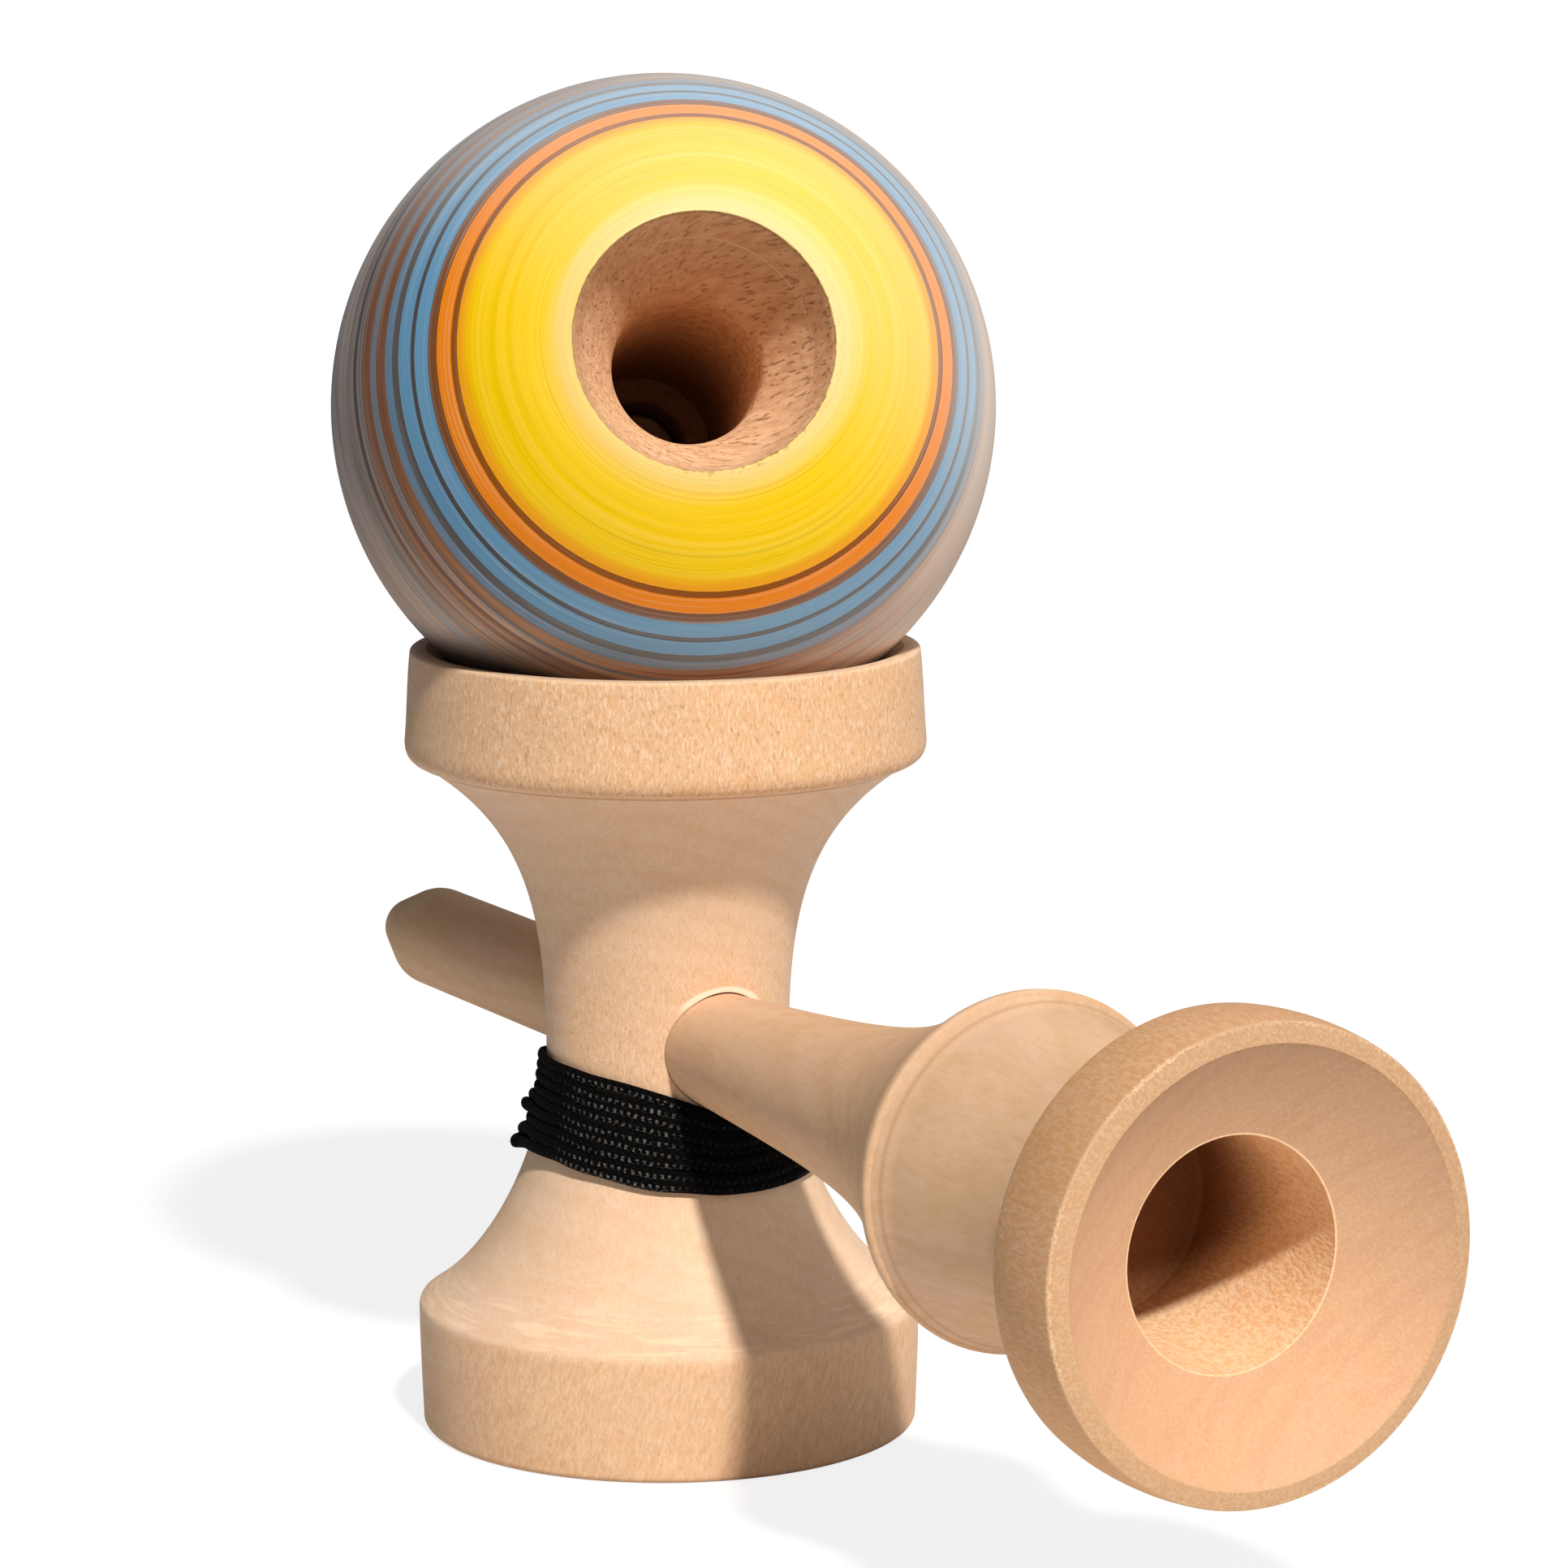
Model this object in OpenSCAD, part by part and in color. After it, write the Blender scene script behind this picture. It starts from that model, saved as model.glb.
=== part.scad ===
// Kendama: a ball on a string, a cross piece with two cups, and a spiked handle with a base cup.
// The cross piece stands on its small cup, the ball lies in its big cup, and the handle runs through
// its neck along X. The origin is on the floor, under the middle of the whole length.

/* [Ball] */
// Diameter of the ball
ball_d = 60; // [57:0.5:62]
// Diameter of the ball's long bore
bore_d = 13.1; // [12:0.1:14.5]
// Diameter of the bore's mouth on the ball's surface
mouth_d = 22.8; // [21.5:0.1:25]
// Diameter at the line turned inside the mouth
line_d = 20.2; // [17.5:0.1:20.8]
// Depth of the turned line below the mouth's edge
line_depth = 4.4; // [3:0.1:6]
// Depth below the mouth's edge at which the mouth has narrowed to the bore
mouth_depth = 11.6; // [9:0.1:15]
// Wood left behind the bead, between its pocket and the ball's surface
back_wall = 4.4; // [3.5:0.1:6]
// Turn of the bore about the upright, from the handle's direction
bore_turn = -19; // [-40:1:10]
// Tilt of the bore above the level
bore_tilt = 17.5; // [10:0.5:20]

/* [Cross piece] */
// Height of the cross piece, from the small cup's rim to the big cup's
cross_l = 72.3; // [70:0.1:78]
// Diameter of the big cup at the widest place of its band
big_cup_d = 47.6; // [45:0.2:50]
// Diameter of the small cup at its shoulder
small_cup_d = 46.2; // [43:0.2:48]
// Height of the big cup's band
big_band_l = 10.5; // [8:0.1:12]
// Height of the small cup's band
small_band_l = 11.7; // [8:0.1:12.5]
// Width of the big cup's rim, from its inner edge to the widest place of the band
big_rim = 2.2; // [1.6:0.1:3]
// Distance from the rim's inner edge in to the ring that the ball sits on
seat_in = 1.6; // [1:0.1:2.5]
// Depth of that ring below the rim
seat_deep = 0.93; // [0.6:0.01:1.4]
// Width of the small cup's rim
small_rim = 2.8; // [2:0.1:4]
// Radius to which the big cup is hollowed
big_dish_r = 26.8; // [25:0.1:29]
// Radius to which the small cup is hollowed
small_dish_r = 28.8; // [26:0.1:34]
// Diameter of the neck between the cups
neck_d = 22.3; // [21:0.1:23.5]
// Height of the narrowest place of the neck
neck_z = 35; // [33:0.5:37]

/* [Handle] */
// Height of the handle's axis above the floor
ken_z = 36.75; // [36:0.05:38]
// Diameter of the spike
spike_d = 9.8; // [9:0.1:10.4]
// Distance from the cross piece's axis to the spike's tip
spike_reach = 58.5; // [52:0.5:60]
// Diameter of the blunt tip
tip_d = 5; // [3:0.1:6]
// Length of the spike's bevel
bevel_l = 7.5; // [4:0.5:12]
// Diameter of the tapered stem where it leaves the neck towards the grip
stem_d = 10.5; // [10.3:0.1:12]
// Distance from the cross piece's axis to the ridge
ridge_x = 65.4; // [60:0.2:70]
// Diameter of the ridge
ridge_d = 30.6; // [28:0.1:36]
// Distance from the cross piece's axis to the waist
waist_x = 84.5; // [80:0.5:86]
// Diameter of the waist behind the base cup
waist_d = 24.8; // [23.5:0.2:27]
// Distance from the cross piece's axis to the base cup's rim
base_x = 102; // [99:0.5:106]
// Length of the base cup's band
base_band_l = 9; // [7:0.2:11]
// Diameter of the base cup
base_cup_d = 39; // [36:0.2:42]
// Width of the base cup's rim
base_rim = 2; // [1.4:0.1:2.6]
// Radius to which the base cup is hollowed
base_dish_r = 26.6; // [24:0.2:30]
// Diameter of the bore in the base cup
base_bore_d = 19; // [17:0.2:20]
// Length of the bore in the base cup
base_bore_l = 20; // [12:0.5:22]

/* [String] */
// Diameter of the string
string_d = 1.1; // [0.9:0.1:1.3]
// Diameter at which the wound turns are drawn, thinner so that they stay apart
wound_d = 0.62; // [0.5:0.02:0.62]
// Diameter of the bead in the ball
bead_d = 8.2; // [6:0.1:9]
// Length of the bead
bead_l = 4.6; // [3.5:0.1:5.5]

/* [Fits] */
// Radial clearance of the stem in the neck, and of the bead lengthwise in its pocket
fit_gap = 0.05; // [0.02:0.01:0.1]
// Gap between the ball and the big cup's ring
seat_gap = 0.25; // [0.1:0.05:0.4]
// Radial clearance of the bead in its pocket
bead_gap = 0.3; // [0.1:0.05:0.5]
// Radial clearance of the string in its holes
string_gap = 0.4; // [0.2:0.05:0.5]
// Gap between the wound turns and the neck
wound_gap = 0.3; // [0.2:0.05:0.5]

/* [Hidden] */

maple = [0.88, 0.73, 0.57];
dark_wood = [0.60, 0.40, 0.28];
paint_yellow = [0.97, 0.80, 0.10];
braid = [0.09, 0.08, 0.08];
$fn = 96;

// The middle of the whole length, which the origin stands under
mid_x = (base_x - spike_reach) / 2;

// Steps of a drawn curve, and of a rounded edge
curve_steps = 14;
edge_steps = 4;
// Radius of the rounded edges of the foot and of the base cup's back, of the cups' rims and of the ridge
edge_r = 0.7;
rim_r = 0.3;
ridge_r = 0.6;
// How far a cutting solid runs past the wood
cut = 1;

// Curves and rounded edges, as lists of points
function bez(a, b, c, d, n = curve_steps) = [for (i = [0:n])
    let (t = i / n, s = 1 - t) s*s*s*a + 3*s*s*t*b + 3*s*t*t*c + t*t*t*d];
function arc(mid, r, from, to, n = edge_steps) = [for (i = [0:n])
    let (a = from + (to - from) * i / n) mid + r * [cos(a), sin(a)]];
function unit(v) = v / norm(v);

// Outline of the cross piece, as radius and height
small_r = small_cup_d / 2;
big_r = big_cup_d / 2;
neck_r = neck_d / 2;
small_in_r = small_r - small_rim;
big_in_r = big_r - big_rim;
big_seat_r = big_in_r - seat_in;
// The small cup's inner edge lies this much below its rim, and the base cup's this much
rim_drop = 0.4;
base_drop = 0.1;
// The small cup's band is this much narrower at its foot, and the big cup's at its rim
small_taper = 0.3;
big_taper = 0.56;
small_foot_r = small_r - small_taper;
small_band = bez([small_foot_r, edge_r], [small_r - 0.18, small_band_l / 3],
    [small_r, small_band_l * 0.68], [small_r, small_band_l - 1.2], 5);
shoulder_end = [small_r - 0.19, small_band_l];
shoulder = bez([small_r, small_band_l - 1.2], [small_r, small_band_l - 0.7],
    [small_r + 0.05, small_band_l - 0.25], shoulder_end, 4);
lower_flare = bez(shoulder_end, [small_r - 8.42, small_band_l + 5.07],
    [neck_r, neck_z - 6.28], [neck_r, neck_z]);
// The flare of the neck meets the big cup's band in a crisp crease
band_z = cross_l - big_band_l;
crease = [big_r - 1.83, band_z];
band_widest = [big_r, band_z + 1.96];
upper_flare = bez([neck_r, neck_z], [neck_r, band_z - 13.6], [big_r - 10.8, band_z - 6], crease);
big_corner = bez(crease, crease + [0.75, 0.26], [big_r - 0.05, band_z + 0.3], band_widest, 5);
big_band = bez(band_widest, [big_r - 0.26, band_z + 4.7],
    [big_r - 0.26, band_z + 7.5], [big_r - big_taper, cross_l - rim_r], 6);

// Hollow of a cup: points from the axis to the rim's inner edge, with z up into the wood
function dish_depth(in_r, r) = r - sqrt(r*r - in_r*in_r);
function dish(in_r, r, drop) = [for (i = [0:curve_steps])
    let (a = asin(in_r / r) * i / curve_steps)
    [r * sin(a), drop + dish_depth(in_r, r) - r * (1 - cos(a))]];
function turned_over(points, z) = [for (i = [len(points) - 1:-1:0]) [points[i][0], z - points[i][1]]];

sarado_outline = concat(
    dish(small_in_r, small_dish_r, rim_drop),
    [[small_in_r + 0.7, 0]],
    arc([small_foot_r - edge_r, edge_r], edge_r, -90, 0),
    [for (i = [1:5]) small_band[i]],
    [for (i = [1:4]) shoulder[i]],
    [for (i = [1:curve_steps]) lower_flare[i]],
    [for (i = [1:curve_steps]) upper_flare[i]],
    [for (i = [1:5]) big_corner[i]],
    [for (i = [1:6]) big_band[i]],
    arc([big_r - big_taper - rim_r, cross_l - rim_r], rim_r, 0, 90),
    [[big_in_r + 0.15, cross_l], [big_in_r, cross_l - 0.1]],
    turned_over(dish(big_seat_r, big_dish_r, seat_deep), cross_l));

// Radius of the cross piece at a height between the bands
neck_table = [for (p = concat(lower_flare, [for (i = [1:curve_steps]) upper_flare[i]])) [p[1], p[0]]];
function neck_at(z) = lookup(z, neck_table);

// Outline of the handle, as radius and distance along it from the cross piece's axis
spike_r = spike_d / 2;
stem_r = stem_d / 2;
ridge_rr = ridge_d / 2;
waist_r = waist_d / 2;
base_r = base_cup_d / 2;
base_in_r = base_r - base_rim;
base_bore_r = base_bore_d / 2;
// The taper starts clear of the neck and the winding, and ends just past the neck
taper_from = -neck_r - 2.4;
taper_to = neck_r + 0.3;
base_dish_x = base_x - base_drop - (sqrt(base_dish_r*base_dish_r - base_bore_r*base_bore_r)
    - sqrt(base_dish_r*base_dish_r - base_in_r*base_in_r));
base_back_x = base_x - base_band_l;
base_dish = [for (i = [0:8])
    let (from = asin(base_bore_r / base_dish_r), to = asin(base_in_r / base_dish_r),
        a = from + (to - from) * i / 8)
    [base_dish_r * sin(a), base_dish_x + base_dish_r * (cos(from) - cos(a))]];
// The band of the base cup is widest in the middle, and this much narrower at its ends
base_barrel = 0.25;
// The rim of the base cup slopes outwards by this much
rim_slope = 0.45;
tip_r = tip_d / 2;
tip_round = 0.9;
ken_outline = concat(
    [[0, -spike_reach], [tip_r - tip_round, -spike_reach]],
    bez([tip_r - tip_round * 0.6, -spike_reach], [tip_r - tip_round * 0.2, -spike_reach + tip_round * 0.2],
        [tip_r, -spike_reach + tip_round * 0.5], [tip_r + tip_round * 0.2, -spike_reach + tip_round], 4),
    [[spike_r, -spike_reach + bevel_l], [spike_r, taper_from]],
    bez([stem_r, taper_to], [stem_r + 1.9, ridge_x - 23.3], [stem_r + 2.5, ridge_x - 16],
        [ridge_rr - 0.1, ridge_x - ridge_r]),
    arc([ridge_rr - ridge_r, ridge_x], ridge_r, 0, 70),
    bez([ridge_rr - 1, ridge_x + 1.2], [ridge_rr - 1.6, ridge_x + 7],
        [waist_r, waist_x - 8], [waist_r, waist_x], 10),
    bez([waist_r, waist_x], [waist_r, waist_x + 4.5], [base_r - 3.2, base_back_x - 0.6],
        [base_r - edge_r - base_barrel, base_back_x], 8),
    bez([base_r - base_barrel, base_back_x + edge_r], [base_r + 0.1, base_back_x + 3],
        [base_r + 0.1, base_x - 3], [base_r - base_barrel, base_x - rim_slope - rim_r], 6),
    arc([base_r - base_barrel - rim_r, base_x - rim_slope - rim_r], rim_r, 0, 70),
    [[base_in_r + 0.1, base_x]],
    turned(base_dish),
    [[base_bore_r, base_dish_x - base_bore_l], [0, base_dish_x - base_bore_l]]);
function turned(points) = [for (i = [len(points) - 1:-1:0]) points[i]];

// The ball sits on a ring in the big cup, and its own heights run along its bore
ball_r = ball_d / 2;
ball_z = cross_l - seat_deep + sqrt(pow(ball_r + seat_gap, 2) - big_seat_r*big_seat_r);
bore_dir = [cos(bore_turn) * cos(bore_tilt), sin(bore_turn) * cos(bore_tilt), sin(bore_tilt)];
mouth_h = sqrt(ball_r*ball_r - mouth_d*mouth_d / 4);
line_h = mouth_h - line_depth;
bore_top = mouth_h - mouth_depth;
knot_l = 2.3;
knot_room = 0.4;
pocket_floor = back_wall - ball_r;
pocket_l = fit_gap + bead_l + knot_l + knot_room;
bore_floor = pocket_floor + pocket_l;
bead_from = pocket_floor + fit_gap;
string_r = string_d / 2;
string_hole_r = string_r + string_gap;
// The string runs straight for this far behind the ball, and its next stretch starts this much later
stub_out = 1.7;
stub_gap = 0.1;

// The knot has two wraps round the string
wrap_r = 0.62;
knot_r = 1.2;

// The string's hole in the neck lies level with the handle, on the far side
end_seat = 2.7;
end_seat_r = knot_r + wrap_r + 0.15;
stem_at_mid = spike_r + (stem_r - spike_r) * taper_from / (taper_from - taper_to);

module in_frame() {
    translate([-mid_x, 0, 0]) children();
}

module along_bore() {
    in_frame()
        translate([0, 0, ball_z])
            rotate([0, 90 - bore_tilt, bore_turn])
                children();
}

// Cross piece
module sarado() {
    color(maple) in_frame() difference() {
        rotate_extrude() polygon(sarado_outline);
        stem_hole();
        neck_string_hole();
    }
}

// The tapered hole that wedges the stem, with a light chamfer where the grip comes out
module stem_hole() {
    reach = big_r;
    slope = (stem_r - spike_r) / (taper_to - taper_from);
    translate([taper_from, 0, ken_z]) rotate([0, 90, 0]) {
        cylinder(h = taper_to - taper_from, r1 = spike_r + fit_gap, r2 = stem_r + fit_gap);
        translate([0, 0, taper_to - taper_from - 1.8])
            cylinder(h = 2.4, r1 = stem_r + fit_gap - 1.8 * slope, r2 = stem_r + fit_gap + 0.5);
        translate([0, 0, -reach])
            cylinder(h = reach + 0.01, r = spike_r + fit_gap);
    }
}

module neck_string_hole() {
    translate([0, 0, ken_z]) rotate([-90, 0, 0]) {
        cylinder(h = neck_r + cut, r = string_hole_r, $fn = 32);
        translate([0, 0, neck_r - 0.6])
            cylinder(h = 1.2, r1 = string_hole_r, r2 = string_hole_r + 1, $fn = 32);
    }
}

// Handle with its spike and base cup
module ken() {
    color(maple) in_frame() translate([0, 0, ken_z]) difference() {
        rotate([0, 90, 0]) rotate_extrude() polygon(ken_outline);
        rotate([90, 0, 0]) translate([0, 0, -stem_r - cut])
            cylinder(h = 2 * (stem_r + cut), r = string_hole_r, $fn = 32);
        rotate([90, 0, 0]) translate([0, 0, end_seat])
            cylinder(h = stem_r, r = end_seat_r, $fn = 32);
    }
}

// Ball
module tama() {
    color(paint_yellow) along_bore() difference() {
        sphere(r = ball_r);
        rotate_extrude() polygon([[0, bore_floor], [bore_d / 2, bore_floor], [bore_d / 2, bore_top],
            [line_d / 2, line_h], [mouth_d / 2, mouth_h],
            [mouth_d / 2 + cut * 0.3, mouth_h + cut], [mouth_d / 2 + cut * 0.3, ball_r + cut],
            [0, ball_r + cut]]);
        translate([0, 0, pocket_floor])
            cylinder(h = pocket_l + cut, r = bead_d / 2 + bead_gap);
        translate([0, 0, -ball_r - cut])
            cylinder(h = back_wall + 2 * cut, r = string_hole_r, $fn = 32);
    }
}

// Bead that bears the ball on its string
module string_bead() {
    end_r = bead_d / 2 - 0.7;
    color(dark_wood) along_bore() translate([0, 0, bead_from]) rotate_extrude()
        polygon(concat(
            [[string_r + string_gap / 2, 0]],
            bez([end_r, 0], [bead_d / 2 + 0.2, bead_l * 0.25],
                [bead_d / 2 + 0.2, bead_l * 0.75], [end_r, bead_l], 8),
            [[string_r + string_gap / 2, bead_l]]));
}

// A stopper knot of two wraps, standing on its origin
module knot() {
    for (i = [0:1])
        translate([0, 0, wrap_r + i * (knot_l - 2 * wrap_r)])
            rotate_extrude() translate([knot_r - 0.15 * i, 0]) circle(r = wrap_r, $fn = 24);
    cylinder(h = knot_l - 0.3, r = knot_r, $fn = 32);
}

// Knot above the bead, with the string through the bead and out of the ball's back
module string_stop_knot() {
    color(braid) along_bore() {
        translate([0, 0, bead_from + bead_l]) knot();
        translate([0, 0, -ball_r - stub_out])
            cylinder(h = ball_r + stub_out + bead_from + bead_l + 0.5, r = string_r, $fn = 32);
    }
}

// Knot in the handle's seat, with the string through the stem
module string_end_knot() {
    color(braid) in_frame() translate([0, 0, ken_z]) rotate([90, 0, 0]) {
        intersection() {
            translate([0, 0, end_seat]) knot();
            cylinder(h = stem_at_mid - 0.1, r = stem_r);
        }
        translate([0, 0, -stem_at_mid + 0.1])
            cylinder(h = stem_at_mid + end_seat, r = string_r, $fn = 32);
    }
}

// A tube of flat-sided rings swept along points, with the ring kept untwisted
function tangents(p) = [for (i = [0:len(p) - 1])
    unit(p[min(i + 1, len(p) - 1)] - p[max(i - 1, 0)])];
function side_of(t) = unit(cross(t, abs(t[2]) < 0.9 ? [0, 0, 1] : [1, 0, 0]));
function carried(u, t) = unit(u - (u * t) * t);
function sides(t, i = 0, u = undef) = i == len(t) ? []
    : let (v = is_undef(u) ? side_of(t[0]) : carried(u, t[i])) concat([v], sides(t, i + 1, v));
module tube(p, d, n) {
    t = tangents(p);
    u = sides(t);
    last = len(p) - 1;
    points = [for (i = [0:last]) let (w = cross(t[i], u[i]))
        for (j = [0:n - 1]) p[i] + d / 2 * (cos(360 * j / n) * u[i] + sin(360 * j / n) * w)];
    walls = [for (i = [0:last - 1]) for (j = [0:n - 1])
        let (a = i * n + j, b = i * n + (j + 1) % n) each [[a, a + n, b], [b, a + n, b + n]]];
    ends = [for (j = [1:n - 2]) each [[0, j, j + 1], [last * n, last * n + j + 1, last * n + j]]];
    polyhedron(points, concat(walls, ends), convexity = 10);
}
// Points laid evenly on a smooth curve through hand-chosen ones
function through(p, i, t) = let (a = p[max(i - 1, 0)], b = p[i], c = p[i + 1], d = p[min(i + 2, len(p) - 1)])
    0.5 * (2*b + (c - a)*t + (2*a - 5*b + 4*c - d)*t*t + (3*b - a - 3*c + d)*t*t*t);
function smooth(p, n) = concat(
    [for (i = [0:len(p) - 2]) for (k = [0:n - 1]) through(p, i, k / n)], [p[len(p) - 1]]);

// The winding: seven turns round the neck, under the handle and higher at the sides
rings = 24;
wound_from = 130;
wound_angle = 360 * 7 - 10;
wound_last = wound_angle * rings / 360;
wound_top = ken_z - stem_r - wound_d / 2 - 0.25;
wound_pitch = wound_d + 0.45;
rise_top = 4.7;
rise_low = 2.8;
function wound_point(k) = let (f = k / wound_last, a = wound_from + 360 * k / rings,
    z = wound_top - wound_pitch * k / rings + (rise_top + (rise_low - rise_top) * f) * sin(a) * sin(a),
    r = neck_at(z) + (wound_gap + wound_d / 2) * 1.2)
    [r * cos(a), r * sin(a), z];
wound = [for (k = [0:wound_last]) wound_point(k)];
wound_start_dir = unit(wound[0] - wound[1]);
wound_end_dir = unit(wound[wound_last] - wound[wound_last - 1]);
wound_line = concat([wound[0] + wound_d * wound_start_dir], wound,
    [wound[wound_last] + wound_d * wound_end_dir]);
wound_least_gap = min([for (i = [0:wound_last]) for (j = [i + rings / 2:min(i + 2 * rings, wound_last)])
    norm(wound[i] - wound[j])]) - wound_d;
echo("least gap of the winding to itself", wound_least_gap);
module string_winding() {
    color(braid) in_frame() tube(wound_line, wound_d, 6);
}

// From the hole in the neck down to the winding's first turn
lead_start = [0, stem_at_mid + fit_gap + 0.1, ken_z];
lead_route = [[0, 9, ken_z], [0, 11, ken_z], [-0.6, 12.5, ken_z - 0.1], [-2, 13, ken_z - 0.4],
    [-4, 12.6, ken_z - 1.2]];
module string_lead() {
    first = wound_line[0];
    color(braid) in_frame()
        tube(smooth(concat([lead_start], lead_route, [first + 1.2 * wound_start_dir, first]), 2),
            string_d, 8);
}

// From the winding's last turn in a slack loop behind the cups, and up to the ball's back
tail_route = [[-12, 10, 22.5], [-15, 10.3, 20.5], [-19, 11, 16.5], [-22.5, 11.5, 12.5], [-26, 11.8, 9.8],
    [-29.5, 11.8, 9.4], [-32, 11.6, 11.5], [-33.4, 11.5, 15], [-34, 11.4, 20], [-34.2, 11.3, 26],
    [-34.2, 11.2, 32], [-34.1, 11.1, 38], [-34, 11.1, 44], [-33.9, 11, 50], [-33.8, 11, 56],
    [-33.7, 11, 62], [-33.7, 11.1, 68], [-33.6, 11.2, 74], [-33.2, 11.4, 79.5], [-32, 11.1, 82.6]];
module string_tail() {
    last = wound_line[len(wound_line) - 1];
    back = [0, 0, ball_z] - (ball_r + stub_out + stub_gap) * bore_dir;
    color(braid) in_frame()
        tube(smooth(concat([last, last + 1.2 * wound_end_dir], tail_route,
            [back - 1.2 * bore_dir, back]), 2), string_d, 8);
}

sarado();
ken();
tama();
string_bead();
string_stop_knot();
string_winding();
string_lead();
string_tail();
string_end_knot();
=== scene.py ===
import math
import bpy
from mathutils import Matrix, Vector


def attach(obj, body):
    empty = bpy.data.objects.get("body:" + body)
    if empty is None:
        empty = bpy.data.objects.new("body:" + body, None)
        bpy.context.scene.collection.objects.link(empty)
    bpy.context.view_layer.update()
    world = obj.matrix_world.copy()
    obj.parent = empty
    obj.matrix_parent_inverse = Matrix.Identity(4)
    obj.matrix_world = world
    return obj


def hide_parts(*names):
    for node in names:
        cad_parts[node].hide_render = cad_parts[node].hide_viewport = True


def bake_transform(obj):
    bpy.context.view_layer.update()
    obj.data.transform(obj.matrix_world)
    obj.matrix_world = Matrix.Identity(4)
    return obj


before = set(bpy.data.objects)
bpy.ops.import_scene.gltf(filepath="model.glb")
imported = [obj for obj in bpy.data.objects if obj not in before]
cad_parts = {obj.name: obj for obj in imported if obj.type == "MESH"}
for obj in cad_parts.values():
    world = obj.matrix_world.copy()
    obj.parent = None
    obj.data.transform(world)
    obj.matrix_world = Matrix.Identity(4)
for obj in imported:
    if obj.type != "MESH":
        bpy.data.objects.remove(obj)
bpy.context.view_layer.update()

# Camera, lamp and floor
# The camera stands in front of the base cup and a little above the big cup, with a long lens.
# One soft lamp lights the toy from above the handle, and the pale room fills the shadows.
view_right = Vector((0.46762938, 0.88392053, -0.00269343))
view_up = Vector((-0.14402867, 0.07920263, 0.98639885))
view_back = Vector((0.87211152, -0.46088115, 0.16434737))
bpy.ops.object.camera_add()
camera = bpy.context.object
camera.name = "camera"
camera.data.sensor_fit = "HORIZONTAL"
camera.data.sensor_width = 36
# The width of the photograph and the focal length that fits it, both in its pixels
photo_width = 1932
photo_focal_length = 7154.69
camera.data.lens = camera.data.sensor_width * photo_focal_length / photo_width
camera.data.clip_start = 0.01
camera_place = Vector((0.445821, -0.234915, 0.146677))
camera_turn = Matrix((view_right, view_up, view_back)).transposed()
camera.matrix_world = Matrix.Translation(camera_place) @ camera_turn.to_4x4()
bpy.context.scene.camera = camera
bpy.context.scene.view_settings.view_transform = "Standard"

lamp_azimuth = math.radians(-10.2)
lamp_height = math.radians(47.2)
to_lamp = Vector((math.cos(lamp_height) * math.cos(lamp_azimuth),
    math.cos(lamp_height) * math.sin(lamp_azimuth), math.sin(lamp_height)))
bpy.ops.object.light_add(type="SUN")
lamp = bpy.context.object
lamp.name = "key_lamp"
lamp.rotation_euler = to_lamp.to_track_quat("Z", "Y").to_euler()
lamp.data.energy = 3.5
lamp.data.angle = math.radians(4.0)
lamp.data.color = (1, 0.985, 0.96)

room = bpy.data.worlds.new("room")
room.use_nodes = True
bpy.context.scene.world = room
room.node_tree.nodes.clear()


# A socket of a node, on which sums are written as on a number
class Value:
    def __init__(self, maker, socket):
        self.maker = maker
        self.socket = socket

    def math(self, operation, *others):
        inputs = {0: self}
        for place, other in enumerate(others):
            inputs[place + 1] = other
        return self.maker.node("ShaderNodeMath", {"operation": operation}, inputs)

    def __add__(self, other):
        return self.math("ADD", other)

    def __radd__(self, other):
        return self.math("ADD", other)

    def __mul__(self, other):
        return self.math("MULTIPLY", other)

    def __sub__(self, other):
        return self.math("SUBTRACT", other)

    def __rsub__(self, other):
        return (self * -1) + other

    def __truediv__(self, other):
        return self.math("DIVIDE", other)

    def __pow__(self, other):
        return self.math("POWER", other)

    def __abs__(self):
        return self.math("ABSOLUTE")

    # 0 below low, 1 above high, and smooth between them
    def step(self, low, high):
        return self.maker.node("ShaderNodeMapRange", {"interpolation_type": "SMOOTHSTEP"},
            {"Value": self, "From Min": low, "From Max": high})

    def ramp(self, stops, interpolation):
        return self.maker.node("ShaderNodeValToRGB", {"stops": stops, "interpolation": interpolation},
            {0: self})


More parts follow.
